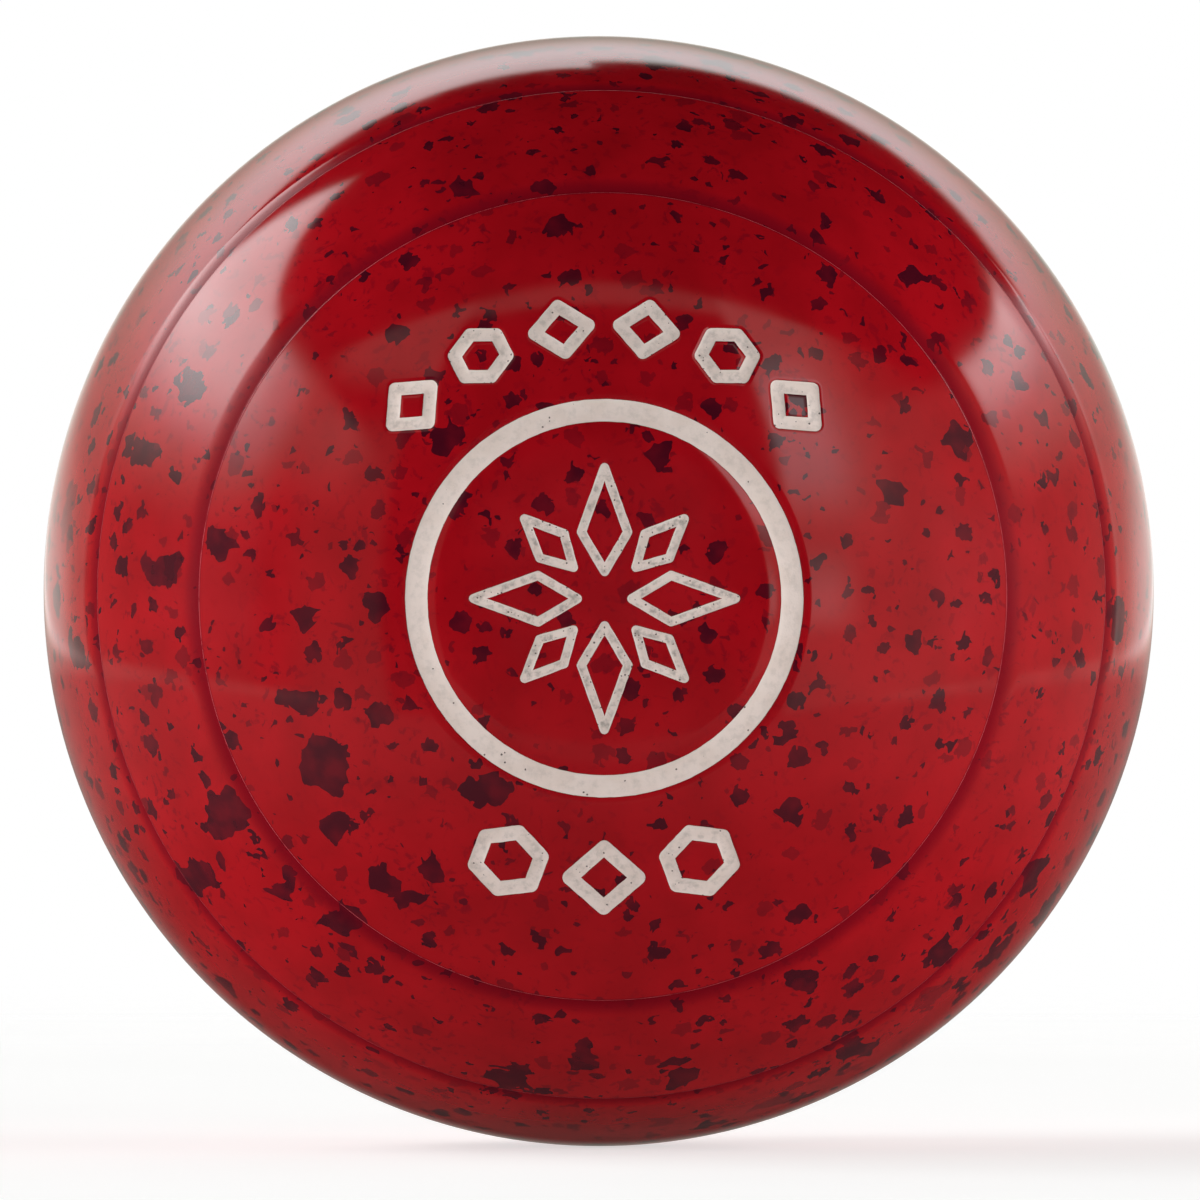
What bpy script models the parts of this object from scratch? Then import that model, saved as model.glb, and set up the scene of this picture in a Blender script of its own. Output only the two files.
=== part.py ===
"""A lawn bowl: one turned body of flecked resin, and the paint that fills the marks engraved in its two faces.

The bowl rolls about the world's Y axis, with its centre at the origin and its front face towards -Y. Each face
has a frame of its own: X to the right and Y up for someone looking at that face, and Z out along the axis.
"""

import math

import bmesh
import bpy
from mathutils import Matrix, Vector

# The turned body, in metres.
RUNNING_RADIUS = 0.056
HALF_WIDTH = 0.052
POLE_FLAT_RADIUS = 0.0018
# The exponent of each side's curve, where 2 is an ellipse. The bowl curls towards the rounder back.
FRONT_SQUARENESS = 2.1
BACK_SQUARENESS = 2.0
BODY_SEGMENTS = 48
SIDE_STEPS = 14

# The grip grooves: a steep wall on the inner side, then a floor that rises outwards to the surface.
# Each is (radius of the wall, radius where the floor reaches the surface).
GROOVES = ((0.0404, 0.0420), (0.0506, 0.0514))
GROOVE_WALL = 0.00012
GROOVE_DEPTH = 0.00028

# The engraved marks and their paint.
ENGRAVING_DEPTH = 0.0006
PAINT_RECESS = 0.00015
PAINT_CLEARANCE = 0.00005
CUTTER_RISE = 0.0004
CORNER_STEPS = 3
RING_STEPS = 48

# Sizes along the middle of a mark's line.
FRONT_RING_RADIUS = 0.01866
BACK_RING_RADIUS = 0.0150
RING_LINE = 0.0023
STAR_LINE = 0.0010
FRONT_STAR_SCALE = 1.0
BACK_STAR_SCALE = 0.78
LONG_RAY = {"inner": 0.0027, "shoulder": 0.0066, "half_width": 0.0023, "outer": 0.0130}
SHORT_RAY = {"inner": 0.0044, "shoulder": 0.0074, "half_width": 0.0017, "outer": 0.0112}
RAY_COUNT = 4

UPPER_LINE = 0.00138
UPPER_RADIUS = 0.0270
UPPER_SPACING = math.radians(18)
UPPER_HALF_WIDTH = 0.0027
UPPER_HALF_HEIGHT = 0.0023
UPPER_SIDES = (4, 6, 4, 4, 6, 4)

LOWER_LINE = 0.00155
LOWER_RADIUS = 0.0278
LOWER_SPACING = math.radians(20)
LOWER_HALF_WIDTH = 0.0034
LOWER_HALF_HEIGHT = 0.0030
LOWER_SIDES = (6, 4, 6)

RESIN_COLOUR = (0.38, 0.010, 0.016, 1)
PAINT_COLOUR = (0.70, 0.63, 0.58, 1)
SHARP_ANGLE = math.radians(35)
MERGE_DISTANCE = 1e-7


def clear_scene():
    for obj in list(bpy.data.objects):
        bpy.data.objects.remove(obj, do_unlink=True)


def make_material(name, colour, roughness):
    material = bpy.data.materials.new(name)
    material.use_nodes = True
    shader = material.node_tree.nodes["Principled BSDF"]
    shader.inputs["Base Color"].default_value = colour
    shader.inputs["Roughness"].default_value = roughness
    shader.inputs["Metallic"].default_value = 0
    return material


def make_object(name, bm, material):
    """Closes off a bmesh as a smooth-shaded object with its faces pointing out."""
    bmesh.ops.remove_doubles(bm, verts=bm.verts, dist=MERGE_DISTANCE)
    bmesh.ops.recalc_face_normals(bm, faces=bm.faces)
    mesh = bpy.data.meshes.new(name)
    bm.to_mesh(mesh)
    bm.free()
    mesh.shade_smooth()
    mesh.set_sharp_from_angle(angle=SHARP_ANGLE)
    mesh.materials.append(material)
    obj = bpy.data.objects.new(name, mesh)
    bpy.context.collection.objects.link(obj)
    return obj


def make_face_frame(name, turn):
    """An empty whose Z points out of one face, after a half turn about the world's Z for the back."""
    frame = bpy.data.objects.new(name, None)
    bpy.context.collection.objects.link(frame)
    frame.matrix_world = Matrix.Rotation(turn, 4, "Z") @ Matrix.Rotation(math.radians(90), 4, "X")
    return frame


def face_height(radius, squareness):
    """Height of the ungrooved side above the bowl's middle plane."""
    share = max(radius, POLE_FLAT_RADIUS) / RUNNING_RADIUS
    return HALF_WIDTH * (1 - share**squareness) ** (1 / squareness)


def side_point(radius, squareness, sunk):
    """A point (radius, height) of one side, sunk below its surface along the surface's normal."""
    share = radius / RUNNING_RADIUS
    height = face_height(radius, squareness)
    outward = Vector((
        share ** (squareness - 1) / RUNNING_RADIUS,
        (height / HALF_WIDTH) ** (squareness - 1) / HALF_WIDTH,
    )).normalized()
    return Vector((radius, height)) - outward * sunk


def side_profile(squareness):
    """The points of one side, from the edge of the pole flat to the running line, with both grooves."""
    stations = [(POLE_FLAT_RADIUS, 0)]
    for step in range(2, SIDE_STEPS + 1):
        radius = RUNNING_RADIUS * math.sin(math.pi / 2 * step / SIDE_STEPS) ** (2 / squareness)
        if not any(wall - GROOVE_WALL <= radius <= end for wall, end in GROOVES):
            stations.append((radius, 0))
    for wall, end in GROOVES:
        stations += [(wall - GROOVE_WALL, 0), (wall, GROOVE_DEPTH), (end, 0)]
    return [side_point(radius, squareness, sunk) for radius, sunk in sorted(stations)]


def make_body(material, frame):
    """The whole profile spun about the axis, with the two pole flats closed by one face each."""
    front = side_profile(FRONT_SQUARENESS)
    back = [Vector((radius, -height)) for radius, height in side_profile(BACK_SQUARENESS)]
    bm = bmesh.new()
    points = [bm.verts.new((radius, 0, height)) for radius, height in front + back[-2::-1]]
    edges = [bm.edges.new(pair) for pair in zip(points, points[1:])]
    bmesh.ops.spin(
        bm,
        geom=points + edges,
        axis=(0, 0, 1),
        cent=(0, 0, 0),
        angle=2 * math.pi,
        steps=BODY_SEGMENTS,
        use_merge=True,
    )
    bmesh.ops.remove_doubles(bm, verts=bm.verts, dist=MERGE_DISTANCE)
    bmesh.ops.holes_fill(bm, edges=bm.edges, sides=0)
    body = make_object("bowl_body", bm, material)
    body.parent = frame
    return body


def ring_band(radius, half_line):
    """Pairs (outer, inner) of points round a ring."""
    band = []
    for step in range(RING_STEPS):
        angle = 2 * math.pi * (step + 0.5) / RING_STEPS
        spoke = Vector((math.cos(angle), math.sin(angle)))
        band.append((spoke * (radius + half_line), spoke * (radius - half_line)))
    return band


def outline_band(corners, half_line):
    """Pairs (outer, inner) of points round a convex outline drawn anticlockwise.

    The line's outer edge is rounded at each corner and its inner edge is sharp.
    """
    band = []
    for index, corner in enumerate(corners):
        before = corner - corners[index - 1]
        after = corners[(index + 1) % len(corners)] - corner
        arriving = Vector((before.y, -before.x)).normalized()
        leaving = Vector((after.y, -after.x)).normalized()
        mitre = (arriving + leaving) / (1 + arriving.dot(leaving))
        for step in range(CORNER_STEPS + 1):
            outward = arriving.slerp(leaving, step / CORNER_STEPS)
            band.append((corner + outward * half_line, corner - mitre * half_line))
    return band


def ray_corners(ray, scale, angle):
    """The four corners of one kite-shaped ray of the star, pointing at an angle from the face's X axis."""
    corners = [
        Vector((ray["inner"], 0)),
        Vector((ray["shoulder"], -ray["half_width"])),
        Vector((ray["outer"], 0)),
        Vector((ray["shoulder"], ray["half_width"])),
    ]
    turn = Matrix.Rotation(angle, 2)
    return [turn @ (corner * scale) for corner in corners]


def mark_corners(sides, half_width, half_height, radius, angle):
    """The corners of a polygon that stands on the circle of marks, one corner pointing away from the pole."""
    corners = []
    for step in range(sides):
        turn = 2 * math.pi * step / sides
        corners.append(Vector((radius + half_height * math.cos(turn), half_width * math.sin(turn))))
    placed = Matrix.Rotation(angle, 2)
    return [placed @ corner for corner in corners]


def add_band(bm, band, squareness, top, bottom):
    """Adds a closed solid over a band, between two heights above the curved face."""
    rows = []
    for pair in band:
        for height in (top, bottom):
            for point in pair:
                level = face_height(point.length, squareness) + height
                rows.append(bm.verts.new((point.x, point.y, level)))
    sections = [rows[index : index + 4] for index in range(0, len(rows), 4)]
    for here, there in zip(sections, sections[1:] + sections[:1]):
        for first, second in ((0, 1), (1, 3), (3, 2), (2, 0)):
            bm.faces.new((here[first], here[second], there[second], there[first]))


def face_marks(side, ring_radius, star_scale):
    """Every mark of one face, as (name, band function's outline or radius, line width)."""
    marks = [(f"{side}_ring_paint", ring_radius, RING_LINE)]
    quarter = 2 * math.pi / RAY_COUNT
    for number in range(RAY_COUNT):
        corners = ray_corners(LONG_RAY, star_scale, quarter * number)
        marks.append((f"{side}_long_ray_paint_{number + 1}", corners, STAR_LINE * star_scale))
    for number in range(RAY_COUNT):
        corners = ray_corners(SHORT_RAY, star_scale, quarter * (number + 0.5))
        marks.append((f"{side}_short_ray_paint_{number + 1}", corners, STAR_LINE * star_scale))
    for number, sides in enumerate(UPPER_SIDES):
        angle = math.pi / 2 - UPPER_SPACING * (number - (len(UPPER_SIDES) - 1) / 2)
        corners = mark_corners(sides, UPPER_HALF_WIDTH, UPPER_HALF_HEIGHT, UPPER_RADIUS, angle)
        marks.append((f"{side}_upper_mark_paint_{number + 1}", corners, UPPER_LINE))
    for number, sides in enumerate(LOWER_SIDES):
        angle = -math.pi / 2 + LOWER_SPACING * (number - (len(LOWER_SIDES) - 1) / 2)
        corners = mark_corners(sides, LOWER_HALF_WIDTH, LOWER_HALF_HEIGHT, LOWER_RADIUS, angle)
        marks.append((f"{side}_lower_mark_paint_{number + 1}", corners, LOWER_LINE))
    return marks


def mark_band(shape, half_line):
    """The band of one mark, whose shape is a ring's radius or an outline's corners."""
    if isinstance(shape, float):
        return ring_band(shape, half_line)
    return outline_band(shape, half_line)


def make_face(body, side, frame, squareness, marks, paint):
    """Engraves one face's marks in the body and fills each with its own body of paint."""
    cutters = bmesh.new()
    for name, shape, line in marks:
        add_band(cutters, mark_band(shape, line / 2), squareness, CUTTER_RISE, -ENGRAVING_DEPTH)
        filling = bmesh.new()
        band = mark_band(shape, line / 2 - PAINT_CLEARANCE)
        add_band(filling, band, squareness, -PAINT_RECESS, PAINT_CLEARANCE - ENGRAVING_DEPTH)
        make_object(name, filling, paint).parent = frame
    cutter = make_object(f"{side}_engraving_cutter", cutters, paint)
    cutter.parent = frame
    cutter.hide_render = True
    cutter.display_type = "WIRE"
    engrave = body.modifiers.new(f"{side} engraving", "BOOLEAN")
    engrave.operation = "DIFFERENCE"
    engrave.solver = "EXACT"
    engrave.object = cutter


def main():
    clear_scene()
    resin = make_material("flecked_resin", RESIN_COLOUR, roughness=0.12)
    paint = make_material("engraving_paint", PAINT_COLOUR, roughness=0.55)
    front = make_face_frame("front_face", turn=0)
    back = make_face_frame("back_face", turn=math.pi)
    body = make_body(resin, front)
    front_marks = face_marks("front", FRONT_RING_RADIUS, FRONT_STAR_SCALE)
    back_marks = face_marks("back", BACK_RING_RADIUS, BACK_STAR_SCALE)
    make_face(body, "front", front, FRONT_SQUARENESS, front_marks, paint)
    make_face(body, "back", back, BACK_SQUARENESS, back_marks, paint)


main()
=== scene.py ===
"""The looks of the lawn bowl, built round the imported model. Metres, +Z up, the front face towards -Y.

Each face has a frame of its own: X to the right and Y up for someone looking at that face, and Z out along
the bowl's axis, with the bowl's centre at the origin. A flat point is (X, Y) in that frame.
"""

import math

import bpy
import numpy as np
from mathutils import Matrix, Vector, noise
from mathutils.geometry import delaunay_2d_cdt


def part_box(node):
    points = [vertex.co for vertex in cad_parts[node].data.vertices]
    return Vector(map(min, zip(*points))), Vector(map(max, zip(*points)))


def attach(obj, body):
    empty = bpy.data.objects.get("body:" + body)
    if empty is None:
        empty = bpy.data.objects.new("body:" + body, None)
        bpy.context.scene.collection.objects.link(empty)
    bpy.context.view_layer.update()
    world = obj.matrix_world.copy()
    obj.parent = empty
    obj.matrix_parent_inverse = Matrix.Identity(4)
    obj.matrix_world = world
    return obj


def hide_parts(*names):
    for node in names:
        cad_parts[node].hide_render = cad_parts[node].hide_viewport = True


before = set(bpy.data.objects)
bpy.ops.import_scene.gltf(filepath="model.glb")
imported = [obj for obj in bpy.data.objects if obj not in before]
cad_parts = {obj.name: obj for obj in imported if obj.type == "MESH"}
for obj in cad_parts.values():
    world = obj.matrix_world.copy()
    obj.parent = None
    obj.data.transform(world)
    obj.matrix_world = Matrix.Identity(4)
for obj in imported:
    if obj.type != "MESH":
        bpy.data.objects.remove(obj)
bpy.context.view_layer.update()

MM = 0.001

# The turned body, as in the CAD model: each side's exponent, and the flat that the tool leaves at its pole.
body_low, body_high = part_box("bowl_body")
RUNNING_RADIUS = body_high.z
FRONT_POLE = -body_low.y
BACK_POLE = body_high.y
FRONT_SQUARENESS = 2.1
BACK_SQUARENESS = 2.0
POLE_FLAT_RADIUS = 1.8 * MM

# The grip grooves: a steep wall on the inner side, then a floor that rises outwards to the surface. Each is
# (radius of the wall's foot, radius where the floor reaches the surface). Polishing has softened the bends.
# Cuts are matte, and darkened with painted shade, fully so from the matte depth down. The lip is how far the
# scuffing, lightened with a painted highlight, reaches from a wall's top.
GROOVES = ((40.4 * MM, 42.0 * MM), (50.6 * MM, 51.4 * MM))
GROOVE_WALL = 0.12 * MM
GROOVE_DEPTH = 0.28 * MM
GROOVE_BRINK = 0.05 * MM
GROOVE_FOOT = 0.09 * MM
GROOVE_END = 0.28 * MM
GROOVE_MATTE_DEPTH = 0.2 * MM
GROOVE_LIP = 0.2 * MM

# The engraved marks, by the middle of their lines.
RING_LINE = 2.3 * MM
FRONT_RING_RADIUS = 18.66 * MM
BACK_RING_RADIUS = 15.0 * MM
STAR_LINE = 1.0 * MM
FRONT_STAR_SCALE = 1.0
BACK_STAR_SCALE = 0.78
LONG_RAY = {"inner": 2.7 * MM, "shoulder": 6.6 * MM, "half_width": 2.3 * MM, "outer": 13.0 * MM}
SHORT_RAY = {"inner": 4.4 * MM, "shoulder": 7.4 * MM, "half_width": 1.7 * MM, "outer": 11.2 * MM}
RAY_COUNT = 4
UPPER_MARKS = {
    "sides": (4, 6, 4, 4, 6, 4),
    "line": 1.38 * MM,
    "radius": 27.0 * MM,
    "spacing": math.radians(18),
    "half_width": 2.7 * MM,
    "half_height": 2.3 * MM,
}
LOWER_MARKS = {
    "sides": (6, 4, 6),
    "line": 1.55 * MM,
    "radius": 27.8 * MM,
    "spacing": math.radians(20),
    "half_width": 3.4 * MM,
    "half_height": 3.0 * MM,
}

# The pockets of the marks. Polishing has rounded the resin for a little way beside each one.
POCKET_DEPTH = 0.6 * MM
MARK_SHOULDER = {"width": 0.34 * MM, "drop": 0.045 * MM}
RING_OUTER_SHOULDER = {"width": 0.9 * MM, "drop": 0.10 * MM}
RING_INNER_SHOULDER = {"width": 1.5 * MM, "drop": 0.15 * MM}
SHOULDER_SHARES = (1, 0.6, 0.3, 0.1, 0)
# Each row of a pocket's wall: how far into the pocket, how deep below the lip, and how steep.
WALL_ROWS = ((0.012 * MM, 0.015 * MM, 1.2), (0.025 * MM, 0.08 * MM, 5), (0.03 * MM, POCKET_DEPTH, 9))
EDGE_WOBBLE = 0.035 * MM
EDGE_WOBBLE_LENGTH = 0.8 * MM

# The paint, which shrinks as it cures: it draws back from the walls and sinks towards its line's middle.
PAINT_GAP = 0.045 * MM
PAINT_BOTTOM = 0.55 * MM
PAINT_EDGE_DEPTH = 0.04 * MM
PAINT_MIDDLE_DEPTH = 0.13 * MM
PAINT_ROWS = 8
PAINT_LUMPS = ((0.45 * MM, 0.010 * MM), (1.7 * MM, 0.016 * MM))
PAINT_SHARP_ANGLE = math.radians(40)

# How finely the meshes are cut.
SEGMENTS = 240
MIDDLE_RADIUS = 34.5 * MM
CURVE_SAMPLES = 20000
PLAIN_SPACING = 2.2 * MM
LEAST_SPACING = 0.02 * MM
BRINK_STATIONS = (-0.5, -0.25, -0.12, -0.06, -0.03, 0, 0.03, 0.06, 0.09, 0.13, 0.18, 0.26, 0.45)
END_STATIONS = (-0.8, -0.45, -0.2, 0, 0.2, 0.45, 0.9)
OUTLINE_SPACING = 0.6 * MM
CORNER_STEPS = 6
OPEN_SPACING = 1.35 * MM
OPEN_CLEARANCE = 0.6 * MM
SAME_PLACE = 1e-8


class Face:
    """One side of the bowl: its curve, its marks' sizes, and the way from its own frame to the world."""

    def __init__(self, name, turn, squareness, pole, ring_radius, star_scale):
        self.name = name
        self.turn = turn
        self.squareness = squareness
        self.half_width = pole / (1 - (POLE_FLAT_RADIUS / RUNNING_RADIUS) ** squareness) ** (1 / squareness)
        self.ring_radius = ring_radius
        self.star_scale = star_scale

    def world(self, vectors):
        x, y, z = vectors.T
        return np.column_stack((self.turn * x, -self.turn * z, y))

    def height(self, radius):
        share = np.maximum(radius, POLE_FLAT_RADIUS) / RUNNING_RADIUS
        return self.half_width * (1 - share**self.squareness) ** (1 / self.squareness)

    def slope(self, radius):
        """How fast the height changes with the radius."""
        power = self.squareness
        share = radius / RUNNING_RADIUS
        fall = share ** (power - 1) * (1 - share**power) ** (1 / power - 1)
        return np.where(radius > POLE_FLAT_RADIUS, -fall * self.half_width / RUNNING_RADIUS, 0)

    def lifted(self, flat, lift=0.0, tilt=0.0):
        """World points and normals over flat points, lifted along the axis. The tilt is the lift's slope."""
        radius = np.maximum(np.linalg.norm(flat, axis=1), SAME_PLACE)
        points = np.column_stack((flat, self.height(radius) + lift))
        gradient = flat * (self.slope(radius) / radius)[:, None] + tilt
        normals = np.column_stack((-gradient, np.ones(len(flat))))
        return self.world(points), self.world(normals)

    def side_curve(self):
        """The side's curve from pole to running line: distance along it, radius and height by sample."""
        turn = np.linspace(0, math.pi / 2, CURVE_SAMPLES)
        radius = RUNNING_RADIUS * np.sin(turn) ** (2 / self.squareness)
        height = self.half_width * np.maximum(np.cos(turn), 0) ** (2 / self.squareness)
        along = np.concatenate(([0], np.cumsum(np.hypot(np.diff(radius), np.diff(height)))))
        return along, radius, height

    def side_normal(self, radius, height):
        """The outward normal of the curve, as its shares along the radius and along the axis."""
        power = self.squareness - 1
        across = (radius / RUNNING_RADIUS) ** power / RUNNING_RADIUS
        out = (height / self.half_width) ** power / self.half_width
        return across / np.hypot(across, out), out / np.hypot(across, out)


class Builder:
    """Gathers one mesh: its points, with a normal and one more value each, and the faces between them."""

    def __init__(self, value_name):
        self.value_name = value_name
        self.points = []
        self.normals = []
        self.values = []
        self.faces = []
        self.count = 0

    def add_points(self, points, normals, value=0.0):
        self.points.append(points)
        self.normals.append(normals)
        self.values.append(np.broadcast_to(value, len(points)))
        self.count += len(points)
        return np.arange(self.count - len(points), self.count)

    def add_row(self, points, normals, value=0.0):
        """Adds a closed row, where neighbours in one place share a point. Returns each sample's number."""
        apart = np.linalg.norm(points - np.roll(points, 1, axis=0), axis=1) > SAME_PLACE
        numbers = self.add_points(points[apart], normals[apart], value)
        return numbers[np.cumsum(apart) - 1]

    def add_strip(self, outer, inner):
        """Joins two closed rows that run anticlockwise, seen from outside the mesh."""
        for section in zip(outer, np.roll(outer, -1), np.roll(inner, -1), inner):
            corners = [int(corner) for number, corner in enumerate(section) if corner != section[number - 1]]
            if len(corners) > 2:
                self.faces.append(corners)

    def make(self, name, material):
        mesh = bpy.data.meshes.new(name)
        mesh.from_pydata(np.concatenate(self.points).tolist(), [], self.faces)
        mesh.update()
        mesh.shade_smooth()
        value = mesh.attributes.new(self.value_name, "FLOAT", "POINT")
        value.data.foreach_set("value", np.concatenate(self.values).astype(np.float32))
        mesh.materials.append(material)
        obj = bpy.data.objects.new(name, mesh)
        bpy.context.scene.collection.objects.link(obj)
        return obj


class Line:
    """One engraved line, sampled round so that each edge can be offset from its middle.

    Each side is (base, step, away): base + step * distance is a point at that distance from the middle, and
    away is the direction in which the resin leaves the line there. Each side has its own shoulder.
    """

    def __init__(self, outer, inner, width, shoulders):
        self.sides = (outer, inner)
        self.width = width
        self.shoulders = shoulders

    def row(self, side, distance):
        """Flat points on one side of the line, at a distance outside its edge."""
        base, step, _ = self.sides[side]
        return base + step * np.reshape(self.width / 2 + distance, (-1, 1))

    def uneven(self, side):
        """How far each sample of the line's edge strays, since no engraved edge is quite even."""
        places = self.row(side, 0) / EDGE_WOBBLE_LENGTH
        return EDGE_WOBBLE * np.array([noise.noise((x, y, side)) for x, y in places])


def spokes(count):
    """Unit vectors all the way round, anticlockwise from X."""
    angles = 2 * math.pi * np.arange(count) / count
    return np.column_stack((np.cos(angles), np.sin(angles)))


def ring_line(radius):
    out = spokes(SEGMENTS)
    shoulders = (RING_OUTER_SHOULDER, RING_INNER_SHOULDER)
    return Line((out * radius, out, out), (out * radius, -out, -out), RING_LINE, shoulders)


def outline_line(corners, width, shoulder):
    """A closed line with straight sides, anticlockwise. Its outer corners are round and its inner sharp."""
    corners = np.array(corners)
    runs = np.roll(corners, -1, axis=0) - corners
    lengths = np.linalg.norm(runs, axis=1)
    leaving = np.column_stack((runs[:, 1], -runs[:, 0])) / lengths[:, None]
    arriving = np.roll(leaving, 1, axis=0)
    mitres = (arriving + leaving) / (1 + (arriving * leaving).sum(1))[:, None]
    outer, inner = [], []
    for index, corner in enumerate(corners):
        for step in range(CORNER_STEPS + 1):
            spoke = Vector(arriving[index]).slerp(Vector(leaving[index]), step / CORNER_STEPS)
            outer.append((corner, spoke, spoke))
            inner.append((corner, -mitres[index], -mitres[index] / np.linalg.norm(mitres[index])))
        pieces = math.ceil(lengths[index] / OUTLINE_SPACING)
        for step in range(1, pieces):
            share = step / pieces
            base = corner + runs[index] * share
            mitre = mitres[index] * (1 - share) + mitres[(index + 1) % len(corners)] * share
            outer.append((base, leaving[index], leaving[index]))
            inner.append((base, -mitre, -leaving[index]))
    outer, inner = [tuple(np.array(part) for part in zip(*side)) for side in (outer, inner)]
    return Line(outer, inner, width, (shoulder, shoulder))


def turned(corners, angle):
    """Corners turned about the pole, from face X towards face Y."""
    cosine, sine = math.cos(angle), math.sin(angle)
    return [(x * cosine - y * sine, x * sine + y * cosine) for x, y in corners]


def ray_lines(name, ray, scale, first_angle):
    """The four kite-shaped rays of one length."""
    corners = (
        (ray["inner"] * scale, 0),
        (ray["shoulder"] * scale, -ray["half_width"] * scale),
        (ray["outer"] * scale, 0),
        (ray["shoulder"] * scale, ray["half_width"] * scale),
    )
    angles = [first_angle + 2 * math.pi * number / RAY_COUNT for number in range(RAY_COUNT)]
    shoulder = {key: size * scale for key, size in MARK_SHOULDER.items()}
    return {
        f"{name}_{number}": outline_line(turned(corners, angle), STAR_LINE * scale, shoulder)
        for number, angle in enumerate(angles, 1)
    }


def mark_lines(name, marks, middle, order):
    """The polygons of one arc of marks, from left to right, about its middle angle."""
    lines = {}
    count = len(marks["sides"])
    for number, sides in enumerate(marks["sides"]):
        turns = [2 * math.pi * step / sides for step in range(sides)]
        corners = [
            (marks["radius"] + marks["half_height"] * math.cos(turn), marks["half_width"] * math.sin(turn))
            for turn in turns
        ]
        angle = middle + order * marks["spacing"] * (number - (count - 1) / 2)
        lines[f"{name}_{number + 1}"] = outline_line(turned(corners, angle), marks["line"], MARK_SHOULDER)
    return lines


def face_lines(face):
    """Every engraved line of one face, by the name of the CAD node of its paint."""
    half_step = math.pi / RAY_COUNT
    return {
        f"{face.name}_ring_paint": ring_line(face.ring_radius),
        **ray_lines(f"{face.name}_long_ray_paint", LONG_RAY, face.star_scale, 0),
        **ray_lines(f"{face.name}_short_ray_paint", SHORT_RAY, face.star_scale, half_step),
        **mark_lines(f"{face.name}_upper_mark_paint", UPPER_MARKS, math.pi / 2, -1),
        **mark_lines(f"{face.name}_lower_mark_paint", LOWER_MARKS, -math.pi / 2, 1),
    }


def add_pocket(builder, face, line):
    """Adds a line's pocket and the rounded resin beside it. Returns its outer and inner loop on the face."""
    loops, bottoms = [], []
    for side, shoulder in enumerate(line.shoulders):
        away = line.sides[side][2]
        uneven = line.uneven(side)
        rows = []
        for share in SHOULDER_SHARES:
            lift = -shoulder["drop"] * (1 - share) ** 2
            tilt = 2 * shoulder["drop"] / shoulder["width"] * (1 - share)
            rows.append((shoulder["width"] * share + uneven * (1 - share), lift, tilt, 0))
        for inwards, depth, tilt in WALL_ROWS:
            rows.append((uneven - inwards, -shoulder["drop"] - depth, tilt, 1))
        numbers = []
        for distance, lift, tilt, unpolished in rows:
            flat = line.row(side, distance)
            numbers.append(builder.add_row(*face.lifted(flat, lift, away * tilt), unpolished))
        for nearer, deeper in zip(numbers, numbers[1:]):
            builder.add_strip(*((deeper, nearer) if side else (nearer, deeper)))
        fresh = numbers[0] != np.roll(numbers[0], 1)
        loops.append((numbers[0][fresh], line.row(side, shoulder["width"])[fresh]))
        bottoms.append(numbers[-1])
    builder.add_strip(*bottoms)
    return loops


def loops_round(points, loops):
    """How many of the loops each flat point lies in."""
    count = np.zeros(len(points), int)
    x, y = points[:, :1], points[:, 1:]
    for _, loop in loops:
        x0, y0 = loop.T
        x1, y1 = np.roll(loop, -1, axis=0).T
        passes = (y0 > y) != (y1 > y)
        crossing = x0 + (x1 - x0) * (y - y0) / np.where(y1 == y0, 1, y1 - y0)
        count += (passes & (x < crossing)).sum(1) % 2
    return count


def open_grid(loops):
    """Evenly spread flat points on the open surface between the loops, a little clear of them."""
    reach = math.ceil(MIDDLE_RADIUS / (OPEN_SPACING * math.sqrt(3) / 2)) + 1
    steps = range(-reach, reach + 1)
    grid = OPEN_SPACING * np.array([(x + y % 2 / 2, y * math.sqrt(3) / 2) for y in steps for x in steps])
    grid = grid[loops_round(grid, loops) % 2 == 1]
    for _, loop in loops:
        gaps = np.linalg.norm(grid[:, None] - loop, axis=2).min(1)
        grid = grid[gaps > OPEN_CLEARANCE]
    return grid


def add_open_surface(builder, face, loops):
    """Fills the middle of a face between its loops, which bound surface and pocket by turns."""
    grid = open_grid(loops)
    numbers = np.concatenate([row for row, _ in loops] + [builder.add_points(*face.lifted(grid))])
    flat = np.concatenate([loop for _, loop in loops] + [grid])
    edges = []
    for row, _ in loops:
        start, count = len(edges), len(row)
        edges += [(start + step, start + (step + 1) % count) for step in range(count)]
    corners, _, triangles, sources, _, _ = delaunay_2d_cdt(
        [Vector(point) for point in flat / MM], edges, [], 0, 1e-6, True
    )
    corners = np.array(corners)
    middles = np.array([corners[triangle].mean(0) for triangle in triangles]) * MM
    for triangle, count in zip(triangles, loops_round(middles, loops)):
        if count % 2:
            builder.faces.append([int(numbers[sources[corner][0]]) for corner in triangle])


def softened(distance, softness):
    """A ramp that is 0 below 0 and rises by 1 above it, with its bend softened, and the ramp's slope."""
    root = np.sqrt(distance**2 + softness**2)
    return np.array(((distance + root) / 2, (1 + distance / root) / 2))


def groove_depth(along, start, foot, end):
    """The depth of one groove below the surface at each distance along the curve, and the depth's slope."""
    brink = softened(along - start, GROOVE_BRINK)
    bottom = softened(along - foot, GROOVE_FOOT)
    rim = softened(along - end, GROOVE_END)
    return GROOVE_DEPTH * ((brink - bottom) / (foot - start) - (bottom - rim) / (end - foot))


def side_stations(along, grooves):
    """The places of the side's rows along its curve, close together at the grooves."""
    stations = np.arange(along[0], along[-1] - PLAIN_SPACING / 2, PLAIN_SPACING)[1:]
    for start, _, end in grooves:
        zone = start + MM * np.array(BRINK_STATIONS), end + MM * np.array(END_STATIONS)
        plain = stations[(stations < zone[0][0]) | (stations > zone[1][-1])]
        stations = np.concatenate((plain, *zone))
    stations = np.append(np.sort(stations), along[-1])
    return stations[np.diff(stations, prepend=along[0]) > LEAST_SPACING]


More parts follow.
